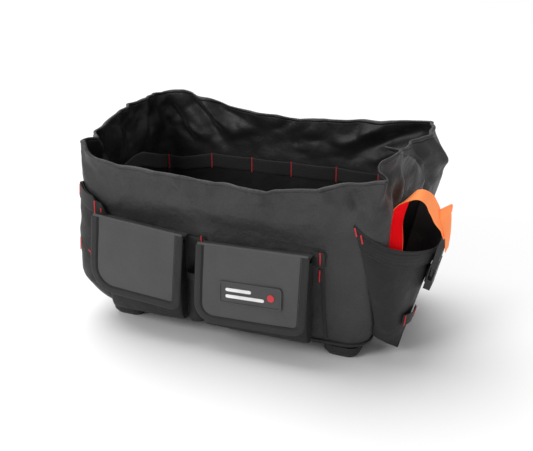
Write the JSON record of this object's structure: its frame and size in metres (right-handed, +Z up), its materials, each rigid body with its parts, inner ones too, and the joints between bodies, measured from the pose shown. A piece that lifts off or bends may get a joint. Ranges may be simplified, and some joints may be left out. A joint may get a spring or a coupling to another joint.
{
  "type": "garden tool bag",
  "caption": "Soft open-topped black tool bag with flapped front pockets, inner webbing pockets, a left end pocket and a buckled cone-shaped side pouch with an orange strap.",
  "frame": {"origin": "middle of the bag's overall footprint, at floor level under the feet", "axes": "+X along the front towards the side pouch, +Y from the flapped front to the plain back, +Z up"},
  "size_m": [0.5721, 0.3239, 0.3077],
  "materials": {
    "body_fabric": "woven polyester with a dull sheen",
    "lining_fabric": "coated lining, dull",
    "flap_fabric": "heavy coated fabric, satin",
    "webbing": "ribbed polyester webbing",
    "hook_and_loop": "hook and loop tape",
    "rubber": "moulded rubber, matt",
    "buckle_plastic": "moulded acetal, fine grain",
    "strap_webbing": "bright woven webbing",
    "badge_rubber": "soft moulded rubber",
    "red_thread": "bar-tack thread",
    "badge_print": "raised light print on the badge"
  },
  "bodies": {
    "bag": {"front_wall": "body_fabric", "right_wall": "body_fabric", "back_wall": "body_fabric", "left_wall": "body_fabric", "front_pocket_left": "body_fabric", "front_pocket_right": "body_fabric", "pen_sleeve": "body_fabric", "end_pocket": "body_fabric", "side_pouch": "body_fabric", "side_pouch_bottom": "body_fabric", "base_board": "lining_fabric", "inner_pocket_back": "lining_fabric", "inner_pocket_left": "lining_fabric", "inner_pocket_right": "lining_fabric", "inner_webbing_back": "webbing", "inner_webbing_left": "webbing", "inner_webbing_right": "webbing", "front_hem_left": "webbing", "front_hem_right": "webbing", "end_pocket_hem": "webbing", "tool_loop": "webbing", "side_pouch_hem": "webbing", "pouch_loop": "webbing", "buckle_tab": "webbing", "loop_patch_left": "hook_and_loop", "loop_patch_right": "hook_and_loop", "base_panel": "rubber", "foot_front_left": "rubber", "foot_front_right": "rubber", "foot_back_left": "rubber", "foot_back_right": "rubber", "buckle_socket": "buckle_plastic"},
    "flap_left_root": {"flap_left_top": "flap_fabric"},
    "flap_left": {"flap_left_panel": "flap_fabric", "flap_left_binding": "webbing", "hook_patch_left": "hook_and_loop"},
    "flap_right_root": {"flap_right_top": "flap_fabric"},
    "flap_right": {"flap_right_panel": "flap_fabric", "flap_right_binding": "webbing", "hook_patch_right": "hook_and_loop", "badge": "badge_rubber"},
    "plug": {"buckle_plug": "buckle_plastic", "strap": "strap_webbing", "strap_tail": "strap_webbing"},
    "front_prong": {"prong_front": "buckle_plastic"},
    "rear_prong": {"prong_rear": "buckle_plastic"}
  },
  "joints": [
    {"name": "flap_left_seam", "type": "hinge", "parent": "bag", "child": "flap_left_root", "pos_m": [-0.15791, -0.1234, 0.17641], "axis": [-0.9971, 0, 0.0767], "range_deg": [0, 65]},
    {"name": "flap_left_crease", "type": "hinge", "parent": "flap_left_root", "child": "flap_left", "pos_m": [-0.1576, -0.1439, 0.1805], "axis": [-0.9971, 0, 0.0767], "range_deg": [0, 100]},
    {"name": "flap_right_seam", "type": "hinge", "parent": "bag", "child": "flap_right_root", "pos_m": [0.02604, -0.1234, 0.1669], "axis": [-0.9994, 0, -0.0349], "range_deg": [0, 65]},
    {"name": "flap_right_crease", "type": "hinge", "parent": "flap_right_root", "child": "flap_right", "pos_m": [0.0259, -0.1439, 0.171], "axis": [-0.9994, 0, -0.0349], "range_deg": [0, 100]},
    {"name": "buckle_release", "type": "slide", "parent": "bag", "child": "plug", "axis": [0.225, 0, 0.9744], "range_m": [0, 0.034]},
    {"name": "front_prong_press", "type": "hinge", "parent": "plug", "child": "front_prong", "pos_m": [0.26687, -0.0302, 0.14216], "axis": [0.9744, 0, -0.225], "range_deg": [0, 5], "stiffness_Nm_per_rad": 0.02},
    {"name": "rear_prong_press", "type": "hinge", "parent": "plug", "child": "rear_prong", "pos_m": [0.26687, -0.0086, 0.14216], "axis": [-0.9744, 0, 0.225], "range_deg": [0, 5], "stiffness_Nm_per_rad": 0.02}
  ]
}
